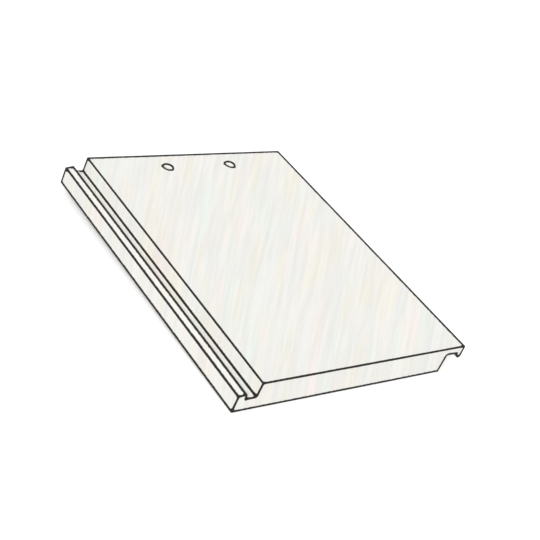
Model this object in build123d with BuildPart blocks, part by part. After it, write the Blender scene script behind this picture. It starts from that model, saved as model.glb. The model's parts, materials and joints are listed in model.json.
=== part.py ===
from build123d import *
import os
from math import asin, atan2, cos, degrees, hypot, radians, sin, tan

# A flat interlocking roof tile, cast in concrete as one piece, in millimetres.
# It is modelled level: x runs across it from the underlock to the overlock, y from
# the tail up to the head, and z up from the bed, the plane that its underside bears on.
# Last of all it is laid down as it lies on a floor.

# The whole tile
length = 420.0
overall_width = 330.0
depth = 36.0
plate_thickness = 12.0

# How one tile locks into the next one beside it
side_gap = 3.0
lock_height_gap = 1.0
lock_side_gap = 1.5

# Underlock: the lip and groove on the left edge, heights given as drops from the top face
underlock_width = 28.0
groove_drop = 19.0
groove_wall_lean = 1.5
lip_width = 11.5
lip_lean = 1.5
lip_fall = 2.0
lip_inner_lean = 1.0

# Overlock: the flange and rib on the right edge
flange_thickness = 10.8
rib_root = 10.5
rib_tip = 4.5

# Roundings of the section
arris = 1.0
lip_arris = 1.5
groove_fillet = 1.5
rib_nose = 3.6
rib_inner_arris = 0.8

# Pockets in the underside, and the ribs and bars left between them
edge_rail = 15.0
nose_bar = 32.0
head_bar = 40.0
stiffener = 18.0
stiffener_count = 2
pocket_draft = 10.0
pocket_corner = 9.0
pocket_fillet = 4.0

# Drip channel across the underside of the nose bar
drip_width = 8.0
drip_depth = 5.0
drip_setback = 12.0

# Nail holes, measured from the left edge of the top face and from the head
nail_hole_left = 104.5
nail_hole_spacing = 97.5
nail_hole_from_head = 27.0
nail_hole_bore = 7.0
nail_hole_mouth = 12.5
nail_hole_cone = 38.0

# Hanging nibs, which hook over the batten
nib_depth = 12.0
nib_width = 36.0
nib_thickness = 16.0
nib_from_head = 2.0
nib_inset = 22.0
nib_draft = 4.0
nib_corner = 3.0
nib_arris = 2.0

# Lines across the tile
left = -overall_width / 2
right = overall_width / 2
plate_left = left + underlock_width
next_left = right + side_gap - underlock_width
body_right = next_left - lock_side_gap
rib_root_x = right - rib_root

# Heights above the bed
groove_floor = depth - groove_drop
flange_under = depth - flange_thickness
rib_tip_z = groove_floor + lock_height_gap
lip_high = flange_under - lock_height_gap
lip_low = lip_high - lip_fall
pocket_depth = depth - plate_thickness

# Nail holes
nail_hole_x = [plate_left + nail_hole_left, plate_left + nail_hole_left + nail_hole_spacing]
nail_hole_y = length - nail_hole_from_head

# The field of the underside between the rails, shared out evenly between the pockets
field_left = plate_left + edge_rail
field_right = body_right - edge_rail
field_middle = (field_left + field_right) / 2
pocket_width = (field_right - field_left - stiffener_count * stiffener) / (stiffener_count + 1)
pocket_length = length - nose_bar - head_bar
pocket_middle_y = nose_bar + pocket_length / 2

# Nibs, each set in from its rail
nib_x = [field_left + nib_inset + nib_width / 2, field_right - nib_inset - nib_width / 2]
nib_y = length - nib_from_head - nib_thickness / 2

with BuildPart() as roof_tile:
    # Section across the tile: underlock, flat plate and overlock, the same from tail to head
    with BuildSketch(Plane.XZ) as section:
        with BuildLine() as outline:
            corners = [
                ((left, 0), 0),
                ((left + lip_lean, lip_low), lip_arris),
                ((left + lip_lean + lip_width, lip_high), lip_arris),
                ((left + lip_lean + lip_width + lip_inner_lean, groove_floor), groove_fillet),
                ((plate_left - groove_wall_lean, groove_floor), groove_fillet),
                ((plate_left, depth), arris),
                ((right, depth), arris),
                ((right, rib_tip_z), rib_nose),
                ((right - rib_tip, rib_tip_z), rib_inner_arris),
                ((rib_root_x, flange_under), groove_fillet),
                ((body_right + lip_lean, flange_under), groove_fillet),
                ((body_right, 0), 0),
            ]
            FilletPolyline([point for point, r in corners], radius=[r for point, r in corners], close=True)
        make_face()
    extrude(amount=-length)

    # Pockets under the plate, between the rails, the ribs and the bars
    with BuildSketch(Plane.XY):
        with Locations((field_middle, pocket_middle_y)):
            with GridLocations(pocket_width + stiffener, 0, stiffener_count + 1, 1):
                RectangleRounded(pocket_width, pocket_length, pocket_corner)
    extrude(amount=pocket_depth, taper=pocket_draft, mode=Mode.SUBTRACT)
    ceiling_edges = roof_tile.edges().filter_by_position(Axis.Z, pocket_depth - 0.01, pocket_depth + 0.01)
    fillet(ceiling_edges, radius=pocket_fillet)

    # Drip channel, which stops short of both sides
    with BuildSketch(Plane.XY):
        with Locations((field_middle, drip_setback + drip_width / 2)):
            SlotOverall(field_right - field_left, drip_width)
    extrude(amount=drip_depth, taper=pocket_draft, mode=Mode.SUBTRACT)

    # Nibs at the head
    with BuildSketch(Plane.XY):
        with Locations(*[(x, nib_y) for x in nib_x]):
            RectangleRounded(nib_width, nib_thickness, nib_corner)
    extrude(amount=-nib_depth, taper=nib_draft)
    fillet(roof_tile.faces().group_by(Axis.Z)[0].edges(), radius=nib_arris)

    # Nail holes, each with a funnel that guides the nail in from the top face
    with Locations(*[(x, nail_hole_y, depth) for x in nail_hole_x]):
        CounterSinkHole(nail_hole_bore / 2, nail_hole_mouth / 2, counter_sink_angle=nail_hole_cone)

# On a floor the tile lies on the bottom edge of its tail and the rounded edges of its nibs
nib_round_y = (
    length - nib_from_head - nib_thickness
    + (nib_depth - nib_arris) * tan(radians(nib_draft))
    + nib_arris / cos(radians(nib_draft))
)
nib_round_drop = nib_depth - nib_arris
lean = atan2(nib_round_drop, nib_round_y) + asin(nib_arris / hypot(nib_round_y, nib_round_drop))
reach = length * cos(lean) - depth * sin(lean)
roof_tile.part = roof_tile.part.moved(Location((0, -reach / 2, 0), (degrees(lean), 0, 0)))

roof_tile.part.label = "roof_tile"
os.makedirs("parts", exist_ok=True)
export_step(roof_tile.part, "parts/roof_tile.step")
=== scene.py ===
import json
from collections import defaultdict
from math import atan2, cos, radians, sin

import bmesh
import bpy
from mathutils import Matrix, Quaternion, Vector, noise
from mathutils.bvhtree import BVHTree
from mathutils.kdtree import KDTree


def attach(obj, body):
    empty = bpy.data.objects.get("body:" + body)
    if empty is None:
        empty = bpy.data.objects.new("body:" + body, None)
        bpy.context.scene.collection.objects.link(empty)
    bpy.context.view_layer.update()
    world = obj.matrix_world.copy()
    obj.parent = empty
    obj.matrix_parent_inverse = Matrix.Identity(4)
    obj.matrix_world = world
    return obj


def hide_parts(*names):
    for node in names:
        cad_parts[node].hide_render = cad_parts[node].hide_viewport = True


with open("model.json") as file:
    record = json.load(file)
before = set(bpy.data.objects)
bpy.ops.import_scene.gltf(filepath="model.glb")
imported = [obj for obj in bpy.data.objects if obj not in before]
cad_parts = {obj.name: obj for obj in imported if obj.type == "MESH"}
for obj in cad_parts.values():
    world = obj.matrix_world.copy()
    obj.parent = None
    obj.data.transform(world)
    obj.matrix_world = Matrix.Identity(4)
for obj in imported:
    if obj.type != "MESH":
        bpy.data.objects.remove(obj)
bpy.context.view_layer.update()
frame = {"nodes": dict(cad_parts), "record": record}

MM = 0.001

# Camera: where it stands in the row frame, in metres, and how it looks down on the tile
CAMERA_PLACE = Vector((-0.8551, -0.8815, 0.7497))
LOOK_AZIMUTH = 44.91      # degrees from +Y towards +X
LOOK_DOWN = 30.73         # degrees below the horizon
CAMERA_ROLL = 20.62       # degrees, by which the picture's upright leans
LENS = 78.39              # millimetres, on a sensor SENSOR_WIDTH wide
SENSOR_WIDTH = 36.0

# Light: a soft key from the camera's side, and even light from all round
KEY_AZIMUTH = 43.5        # degrees from +Y towards +X, the way that the light travels
KEY_DOWN = 31.0           # degrees below the horizon
KEY_SPREAD = 40.0         # degrees across the lamp, as the tile sees it
KEY_STRENGTH = 2.2
AROUND_STRENGTH = 0.64
FLOOR_SEEN = 1.25         # the floor's colour to the camera, so that it shows white
FLOOR_BOUNCE = 0.52       # its colour to the tile
FLOOR_SIZE = 30.0         # metres

# Visual mesh
SAME_PLACE = 1e-6         # metres, within which the solid's doubled vertices are merged
FLAT = radians(0.5)       # faces that turn by less are joined before they are cut into the grid
ON_PLANE = 1e-7           # metres, within which a vertex counts as lying on a cutting plane
GRID = 3.0 * MM           # about as wide as the largest face
FINE_GRID = 1.5 * MM      # around the nail holes
FINE_REACH = 9.0 * MM     # how far that goes on each side of a hole's middle
WEAR = 0.5 * MM           # rounding of each sharp arris
WEAR_STEPS = 2
SHARP = radians(40)       # a turn over this is an arris
ALONG = 0.9               # an arris or a normal points lengthwise if its share along Y is over this
ROUNDING_SIDE = 2.2 * MM  # the sides of a rounded corner are shorter than this
WAVE_HEIGHT = 0.10 * MM   # unevenness of the faces
WAVE_LENGTH = 45.0 * MM
HOLE_NAMES = ("nail_hole_left", "nail_hole_right")
HOLE_MOUTH = 12.5 * MM    # nail hole's funnel, across its mouth
HOLE_SIDES = 64
HOLE_SKIM = 0.03 * MM     # how far the smooth hole is cut outside the faceted one
HOLE_PAST = 2.0 * MM      # how far its cutter stands out of both ends

# Face mix: its streaks are sheets that fan out from a slanting axis off the tail's left corner
STREAK_FOOT = Vector((-1.065, -1.30, 0.0))
STREAK_AXIS = Vector((0.24, 0.48, 0.85)).normalized()
STREAK_WIDTH, STREAK_LENGTH = 17.0 * MM, 130.0 * MM
FINE_STREAK_WIDTH, FINE_STREAK_LENGTH = 4.2 * MM, 100.0 * MM
FACE = (243, 241, 236)    # colours as a screen shows them
TINTS = ((247, 239, 234), (238, 242, 236), (244, 241, 230), (240, 240, 237))
TINT_FROM, TINT_FULL = 0.46, 0.7   # of a streak's noise
STREAK_SHADES = (0.955, 1.035)     # darkest and lightest, as a share of the colour
SAND = 0.9 * MM           # grain size
SAND_SHADES = (0.975, 1.02)
SAND_ROUGHNESS = (0.82, 0.97)
PORE_CELL = 9.0 * MM      # there is at most one pore in a cell
PORE_SHARE = 0.45         # of the cells that have one
PORE_CORE, PORE_RIM = 0.035, 0.06  # of a cell, between which the pore fades out
PORE_SHADE = 0.6
RELIEF = 0.12 * MM        # how high the grains stand
RELIEF_STRENGTH = 0.6

# Painted shade: dark outlines along the arrises and in the inner corners, so that the edges stand out. On
# the faces turned to the front the dark reaches as far as makes each line look equally wide from there,
# whether it shows on both sides of its arris or on one. Elsewhere it is narrow
PAINTED_OUTLINE_SHADE = (32, 31, 29)
FRONT = Vector((-0.60, -0.62, 0.51))
LINE_SEEN = 2.35 * MM
OUTLINE_SEEN = 2.75 * MM  # where the arris's other face is turned away
NARROW_LINE = 1.5 * MM
WIDEST_LINE = 4.25 * MM
LINE_CLASS = 0.25 * MM    # reaches are rounded to this
LINE_STEP = 0.5 * MM      # between the points that stand for an arris
LINE_EDGE = 0.15          # of its reach, over which the dark fades out on each side
RING_POWER = 1.5          # over 1, a nail hole's ring is slimmer at its sides
RAGGED_SIZE = 3.0 * MM    # of the lines' uneven edges
RAGGED_SHARE = 0.1        # of a line's reach, by which its edge wanders
OFF_FACE = 0.1 * MM       # how far off the face the look towards the front begins


def mount(name):
    """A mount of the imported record, by name."""
    return next(m for m in frame["record"]["mounts"] if m["name"] == name)


# The tile lies head up, so its mesh is made level and then laid down again
tile_up = Vector(mount("head_lap")["axis"])
lean = atan2(-tile_up.y, tile_up.z)
LYING = Matrix.Rotation(lean, 4, "X")
LEVEL = LYING.inverted()


def hole_cutter(name):
    """A closed turned shape that cuts a nail hole smoothly, in the tile's level frame."""
    hole = mount(name)
    bore = hole["dims"]["r_mm"] * MM + HOLE_SKIM
    wall = hole["dims"]["length_mm"] * MM
    centre = LEVEL @ Vector(hole["pos_m"])
    bed = centre.z - wall / 2
    top = (LEVEL @ Vector(mount("head_lap")["pos_m"])).z
    mouth = HOLE_MOUTH / 2 + HOLE_SKIM
    slope = (mouth - bore) / (top - bed - wall)
    profile = [(bore, bed - HOLE_PAST), (bore, bed + wall), (mouth + slope * HOLE_PAST, top + HOLE_PAST)]
    turns = [radians(360 * n / HOLE_SIDES) for n in range(HOLE_SIDES)]
    mesh = bmesh.new()
    rings = []
    for radius, height in profile:
        places = [(centre.x + radius * cos(turn), centre.y + radius * sin(turn), height) for turn in turns]
        rings.append([mesh.verts.new(place) for place in places])
    mesh.faces.new(reversed(rings[0]))
    mesh.faces.new(rings[-1])
    for low, high in zip(rings, rings[1:]):
        for n in range(HOLE_SIDES):
            m = (n + 1) % HOLE_SIDES
            mesh.faces.new((low[n], low[m], high[m], high[n]))
    mesh.normal_update()
    data = bpy.data.meshes.new(name)
    mesh.to_mesh(data)
    mesh.free()
    return bpy.data.objects.new(name, data)


def smooth_holes(mesh):
    """The same mesh with its two nail holes cut round."""
    data = bpy.data.meshes.new("level_tile")
    mesh.to_mesh(data)
    mesh.free()
    tile = bpy.data.objects.new("level_tile", data)
    things = [tile]
    bpy.context.scene.collection.objects.link(tile)
    for name in HOLE_NAMES:
        cutter = hole_cutter(name)
        bpy.context.scene.collection.objects.link(cutter)
        cut = tile.modifiers.new(name, "BOOLEAN")
        cut.operation = "DIFFERENCE"
        cut.solver = "EXACT"
        cut.object = cutter
        things.append(cutter)
    bpy.context.view_layer.update()
    mesh = bmesh.new()
    mesh.from_object(tile, bpy.context.evaluated_depsgraph_get())
    for thing in things:
        bpy.data.objects.remove(thing)
    return mesh


def section_corners(end_face):
    """Corners of the tile's section on its tail, each with the outward normals of the sides that meet
    there. A rounding counts as one corner, at its middle."""
    points = [v.co.copy() for v in end_face.verts]
    sides = [point - points[i - 1] for i, point in enumerate(points)]
    start = max(range(len(points)), key=lambda i: sides[i].length)
    groups, normals = [], []
    for i in range(start, start + len(points)):
        point, side = points[i % len(points)], sides[i % len(points)]
        if side.length > ROUNDING_SIDE:
            groups.append([])
            normals.append(side.cross(end_face.normal).normalized())
        groups[-1].append(point)
    middles = [(group[(len(group) - 1) // 2] + group[len(group) // 2]) / 2 for group in groups]
    return list(zip(middles, zip(normals, normals[1:] + normals[:1])))


def line_reach(along, normals, inner, ring):
    """How far the painted dark outline of an arris reaches, from the way it runs and the outward normals of
    its two faces. An inner corner is no outline. A nail hole's ring is bold, but slim at its sides."""
    turned = [normal.dot(FRONT) for normal in normals if normal.dot(FRONT) > 0]
    if not turned or (inner and len(turned) == 1):
        return NARROW_LINE
    seen = OUTLINE_SEEN if ring or len(turned) == 1 else LINE_SEEN
    across = along.cross(FRONT).length
    reach = min(seen * across ** (RING_POWER if ring else 1) / sum(turned), WIDEST_LINE)
    return round(reach / LINE_CLASS) * LINE_CLASS


def points_between(a, b, step):
    """Points from a to b, about a step apart."""
    count = max(1, round((b - a).length / step))
    return [a.lerp(b, n / count) for n in range(count + 1)]


def arris_points(mesh, low, high, holes):
    """Points along every arris: the sharp edges, and the middle lines of the section's rounded corners.
    They are grouped by how far the dark reaches and by whether the arris runs lengthwise."""
    arrises = []
    for edge in mesh.edges:
        if edge.calc_face_angle(0) > SHARP:
            ends = [v.co.copy() for v in edge.verts]
            arrises.append((ends, [face.normal for face in edge.link_faces], not edge.is_convex))
    tail = max((f for f in mesh.faces if f.normal.y < -ALONG), key=lambda f: f.calc_area())
    for corner, normals in section_corners(tail):
        ends = [Vector((corner.x, y, corner.z)) for y in (low.y, high.y)]
        arrises.append((ends, normals, normals[0].cross(normals[1]).dot(tail.normal) < 0))
    points = defaultdict(list)
    for (a, b), normals, inner in arrises:
        along = (b - a).normalized()
        ring = any((a - hole).xy.length < HOLE_MOUTH for hole in holes)
        reach = line_reach(along, normals, inner, ring)
        points[reach, abs(along.y) > ALONG] += points_between(a, b, LINE_STEP)
    return points


def add_painted_outline_nearness(mesh, points):
    """Gives each vertex its distance to the nearest arris, as a share of how far that arris's painted dark
    outline reaches. A lengthwise arris leaves the tail's and the head's end faces alone."""
    solid = BVHTree.FromBMesh(mesh)
    trees = {}
    for kind, places in points.items():
        trees[kind] = KDTree(len(places))
        for i, place in enumerate(places):
            trees[kind].insert(place, i)
        trees[kind].balance()
    # mask for the painted dark outlines
    nearness = mesh.verts.layers.float.new("painted_outline_nearness")
    for v in mesh.verts:
        hidden = v.normal.dot(FRONT) <= 0 or solid.ray_cast(v.co + v.normal * OFF_FACE, FRONT)[0]
        at_end = abs(v.normal.y) > ALONG
        shares = []
        for (reach, lengthwise), tree in trees.items():
            if not (lengthwise and at_end):
                shares.append(tree.find(v.co)[2] / (NARROW_LINE if hidden else reach))
        v[nearness] = min(shares)


def cut_planes(low, high, step, fine_places=()):
    """Evenly spaced places between low and high, with closer ones around each of the fine places."""
    count = max(1, round((high - low) / step))
    places = [low + (high - low) * n / count for n in range(1, count)]
    reach = round(FINE_REACH / FINE_GRID)
    for centre in fine_places:
        places = [p for p in places if abs(p - centre) > FINE_REACH + FINE_GRID / 2]
        places += [centre + n * FINE_GRID for n in range(-reach, reach + 1)]
    return sorted(places)


def grid_cut(mesh, axis, places):
    """Cuts the mesh by planes square to an axis, without taking anything away."""
    normal = Vector([float(i == axis) for i in range(3)])
    for place in places:
        geometry = mesh.verts[:] + mesh.edges[:] + mesh.faces[:]
        bmesh.ops.bisect_plane(mesh, geom=geometry, dist=ON_PLANE, plane_co=normal * place, plane_no=normal)


def box_of(mesh):
    """The lowest and the highest corner of a mesh."""
    places = [v.co for v in mesh.verts]
    low = Vector([min(place[axis] for place in places) for axis in range(3)])
    high = Vector([max(place[axis] for place in places) for axis in range(3)])
    return low, high


def tile_mesh(source):
    """The tile's solid, level, with round holes, worn arrises, slightly uneven faces and a fine grid."""
    mesh = bmesh.new()
    mesh.from_mesh(source.data)
    bmesh.ops.transform(mesh, matrix=LEVEL, verts=mesh.verts)
    bmesh.ops.remove_doubles(mesh, verts=mesh.verts, dist=SAME_PLACE)
    mesh = smooth_holes(mesh)
    bmesh.ops.dissolve_limit(mesh, angle_limit=FLAT, verts=mesh.verts, edges=mesh.edges)
    low, high = box_of(mesh)
    holes = [LEVEL @ Vector(mount(name)["pos_m"]) for name in HOLE_NAMES]
    mesh.normal_update()
    points = arris_points(mesh, low, high, holes)
    arrises = [e for e in mesh.edges if e.calc_face_angle(0) > SHARP]
    bmesh.ops.bevel(mesh, geom=arrises, offset=WEAR, segments=WEAR_STEPS, profile=0.5, affect="EDGES",
                    clamp_overlap=False)
    for axis in range(3):
        fine = [hole[axis] for hole in holes] if axis < 2 else []
        grid_cut(mesh, axis, cut_planes(low[axis], high[axis], GRID, fine))
    mesh.normal_update()
    add_painted_outline_nearness(mesh, points)
    for v in mesh.verts:
        rise = noise.noise(v.co / WAVE_LENGTH) * WAVE_HEIGHT
        v.co += v.normal * (rise - WAVE_HEIGHT / 2)
    for face in mesh.faces:
        face.smooth = True
    for edge in mesh.edges:
        edge.smooth = edge.calc_face_angle(0) < SHARP
    return mesh


def build_tile():
    """The tile as it is seen, in place of its plain solid."""
    mesh = tile_mesh(frame["nodes"]["roof_tile"])
    bmesh.ops.transform(mesh, matrix=LYING, verts=mesh.verts)
    data = bpy.data.meshes.new("tile_casting")
    mesh.to_mesh(data)
    mesh.free()
    piece = bpy.data.objects.new("tile_casting", data)
    bpy.context.scene.collection.objects.link(piece)
    even = piece.modifiers.new("even_normals", "WEIGHTED_NORMAL")
    even.keep_sharp = True
    piece.data.materials.append(pale_concrete())
    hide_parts("roof_tile")
    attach(piece, "root")


def linear(screen):
    """A colour as a screen shows it, from 0 to 255, as a shader wants it."""
    return [((c / 255 + 0.055) / 1.055) ** 2.4 for c in screen] + [1.0]


class Graph:
    """Short names for making shader nodes."""

    def __init__(self, name):
        self.material = bpy.data.materials.new(name)
        self.material.use_nodes = True
        self.tree = self.material.node_tree
        self.shader = self.tree.nodes["Principled BSDF"]

    def node(self, kind, inputs=None, **settings):
        made = self.tree.nodes.new("ShaderNode" + kind)
        for name, value in settings.items():
            setattr(made, name, value)
        for name, value in (inputs or {}).items():
            self.feed(made.inputs[name], value)
        return made

    def feed(self, socket, value):
        if isinstance(value, bpy.types.NodeSocket):
            self.tree.links.new(value, socket)
        else:
            socket.default_value = value

    def math(self, operation, a, b=0.0):
        return self.node("Math", {0: a, 1: b}, operation=operation).outputs[0]

    def product(self, *values):
        result = values[0]
        for value in values[1:]:
            result = self.math("MULTIPLY", result, value)
        return result

    def along(self, place, direction):
        """How far a place is along a direction."""
        return self.node("VectorMath", {0: place, 1: direction}, operation="DOT_PRODUCT").outputs["Value"]

    def step(self, value, low, high, to_low=0.0, to_high=1.0):
        """A smooth rise from to_low to to_high, as value goes from low to high."""
        inputs = {"Value": value, "From Min": low, "From Max": high, "To Min": to_low, "To Max": to_high}
        return self.node("MapRange", inputs, interpolation_type="SMOOTHSTEP").outputs["Result"]

    def noise(self, place, size, detail=2.0, rough=0.5, seed=0.0):
        """Noise from 0 to 1 with features of about that size."""
        inputs = {"Vector": place, "W": seed, "Scale": 1 / size, "Detail": detail, "Roughness": rough}
        return self.node("TexNoise", inputs, noise_dimensions="4D").outputs["Fac"]

    def mix(self, amount, a, b, blend="MIX"):
        made = self.node("Mix", data_type="RGBA", blend_type=blend)
        for name, value in (("Factor_Float", amount), ("A_Color", a), ("B_Color", b)):
            self.feed(next(s for s in made.inputs if s.identifier == name), value)
        return next(s for s in made.outputs if s.identifier == "Result_Color")


def pale_concrete():
    """Pale face mix with faint slanting streaks, fine sand and small pores, and painted shade: dark
    outlines along the arrises and in the inner corners.
    """
    g = Graph("pale_concrete")
    place = g.node("TexCoord").outputs["Object"]
    to_middle = STREAK_AXIS * STREAK_FOOT.dot(STREAK_AXIS) - STREAK_FOOT
    outward = to_middle.normalized()
    offset = g.node("VectorMath", {0: place, 1: STREAK_FOOT}, operation="SUBTRACT").outputs["Vector"]
    out, aside, up = [g.along(offset, d) for d in (outward, STREAK_AXIS.cross(outward), STREAK_AXIS)]
    across = g.product(g.math("ARCTAN2", aside, out), to_middle.length)

    def streaks(width, length, detail, seed):
        """Noise that much wide across the streaks and that long in their sheets."""
        inputs = {"X": g.product(out, width / length), "Y": across, "Z": g.product(up, width / length)}
        return g.noise(g.node("CombineXYZ", inputs).outputs[0], width, detail, seed=seed)

    colour = linear(FACE)
    for seed, tint in enumerate(TINTS):
        amount = g.step(streaks(STREAK_WIDTH, STREAK_LENGTH, 1.0, seed), TINT_FROM, TINT_FULL)
        colour = g.mix(amount, colour, linear(tint))
    fine = streaks(FINE_STREAK_WIDTH, FINE_STREAK_LENGTH, 2.0, 5.0)
    sand = g.noise(place, SAND, 3.0, 0.6)
    cells = g.node("TexVoronoi", {"Vector": place, "Scale": 1 / PORE_CELL})
    drawn = g.node("SeparateColor", {"Color": cells.outputs["Color"]}).outputs["Red"]
    has_pore = g.math("LESS_THAN", drawn, PORE_SHARE)
    pore = g.product(g.step(cells.outputs["Distance"], PORE_CORE, PORE_RIM, 1.0, 0.0), has_pore)
    streaky = g.step(fine, 0.3, 0.7, *STREAK_SHADES)
    sandy = g.step(sand, 0.3, 0.7, *SAND_SHADES)
    shade = g.product(streaky, sandy, g.step(pore, 0.0, 1.0, 1.0, PORE_SHADE))
    grey = g.node("CombineColor", {"Red": shade, "Green": shade, "Blue": shade}).outputs[0]
    colour = g.mix(1.0, colour, grey, "MULTIPLY")

    # Painted shade: a dark outline along each arris and in each inner corner, so that the edges stand out
    nearness = g.node("Attribute", attribute_name="painted_outline_nearness").outputs["Fac"]
    ragged = g.step(g.noise(place, RAGGED_SIZE, 3.0, 0.6), 0.3, 0.7, -RAGGED_SHARE, RAGGED_SHARE)
    dark = g.step(g.math("ADD", nearness, ragged), 1 - LINE_EDGE, 1 + LINE_EDGE, 1.0, 0.0)
    colour = g.mix(dark, colour, linear(PAINTED_OUTLINE_SHADE))
    g.feed(g.shader.inputs["Base Color"], colour)

    g.feed(g.shader.inputs["Roughness"], g.step(sand, 0.2, 0.8, *SAND_ROUGHNESS))
    height = g.math("SUBTRACT", g.math("ADD", sand, g.product(fine, 0.3)), g.product(pore, 3.0))
    bump = g.node("Bump", {"Strength": RELIEF_STRENGTH, "Distance": RELIEF, "Height": height})
    g.feed(g.shader.inputs["Normal"], bump.outputs["Normal"])
    return g.material


def seen_and_lighting(tree, seen, lighting, output):
    """One shader for what the camera sees, and another for the light that it gives."""
    path = tree.nodes.new("ShaderNodeLightPath")
    mix = tree.nodes.new("ShaderNodeMixShader")
    tree.links.new(path.outputs["Is Camera Ray"], mix.inputs["Fac"])
    tree.links.new(lighting.outputs[0], mix.inputs[1])
    tree.links.new(seen.outputs[0], mix.inputs[2])
    tree.links.new(mix.outputs[0], output.inputs["Surface"])


def white_floor():
    """A white floor that keeps the tile's shadow."""
    material = bpy.data.materials.new("floor_white")
    material.use_nodes = True
    tree = material.node_tree
    tree.nodes.clear()
    shaders = []
    for white in (FLOOR_SEEN, FLOOR_BOUNCE):
        shader = tree.nodes.new("ShaderNodeBsdfDiffuse")
        shader.inputs["Color"].default_value = (white, white, white, 1)
        shaders.append(shader)
    seen_and_lighting(tree, *shaders, tree.nodes.new("ShaderNodeOutputMaterial"))
    bpy.ops.mesh.primitive_plane_add(size=FLOOR_SIZE)
    floor = bpy.context.object
    floor.name = "floor"
    floor.data.materials.append(material)


def direction(azimuth, down):
    """The way that something points, by its degrees from +Y towards +X and below the horizon."""
    turn, drop = radians(azimuth), radians(down)
    return Vector((sin(turn) * cos(drop), cos(turn) * cos(drop), -sin(drop)))


def studio_light():
    """Even light from all round, seen as white, and a soft key."""
    world = bpy.data.worlds.new("studio")
    bpy.context.scene.world = world
    world.use_nodes = True
    tree = world.node_tree
    tree.nodes.clear()
    shaders = []
    for strength in (1.0, AROUND_STRENGTH):
        shader = tree.nodes.new("ShaderNodeBackground")
        shader.inputs["Color"].default_value = (1, 1, 1, 1)
        shader.inputs["Strength"].default_value = strength
        shaders.append(shader)
    seen_and_lighting(tree, *shaders, tree.nodes.new("ShaderNodeOutputWorld"))
    data = bpy.data.lights.new("key", "SUN")
    data.angle = radians(KEY_SPREAD)
    data.energy = KEY_STRENGTH
    key = bpy.data.objects.new("key", data)
    key.rotation_mode = "QUATERNION"
    key.rotation_quaternion = direction(KEY_AZIMUTH, KEY_DOWN).to_track_quat("-Z", "Y")
    bpy.context.scene.collection.objects.link(key)


def photo_camera():
    """The camera, at the picture's viewing angle."""
    data = bpy.data.cameras.new("camera")
    data.lens = LENS
    data.sensor_width = SENSOR_WIDTH
    camera = bpy.data.objects.new("camera", data)
    bpy.context.scene.collection.objects.link(camera)
    camera.location = CAMERA_PLACE
    camera.rotation_mode = "QUATERNION"
    roll = Quaternion((0, 0, 1), radians(CAMERA_ROLL))
    camera.rotation_quaternion = direction(LOOK_AZIMUTH, LOOK_DOWN).to_track_quat("-Z", "Y") @ roll
    bpy.context.scene.camera = camera


photo_camera()
studio_light()
white_floor()
build_tile()
bpy.context.scene.view_settings.view_transform = "Standard"
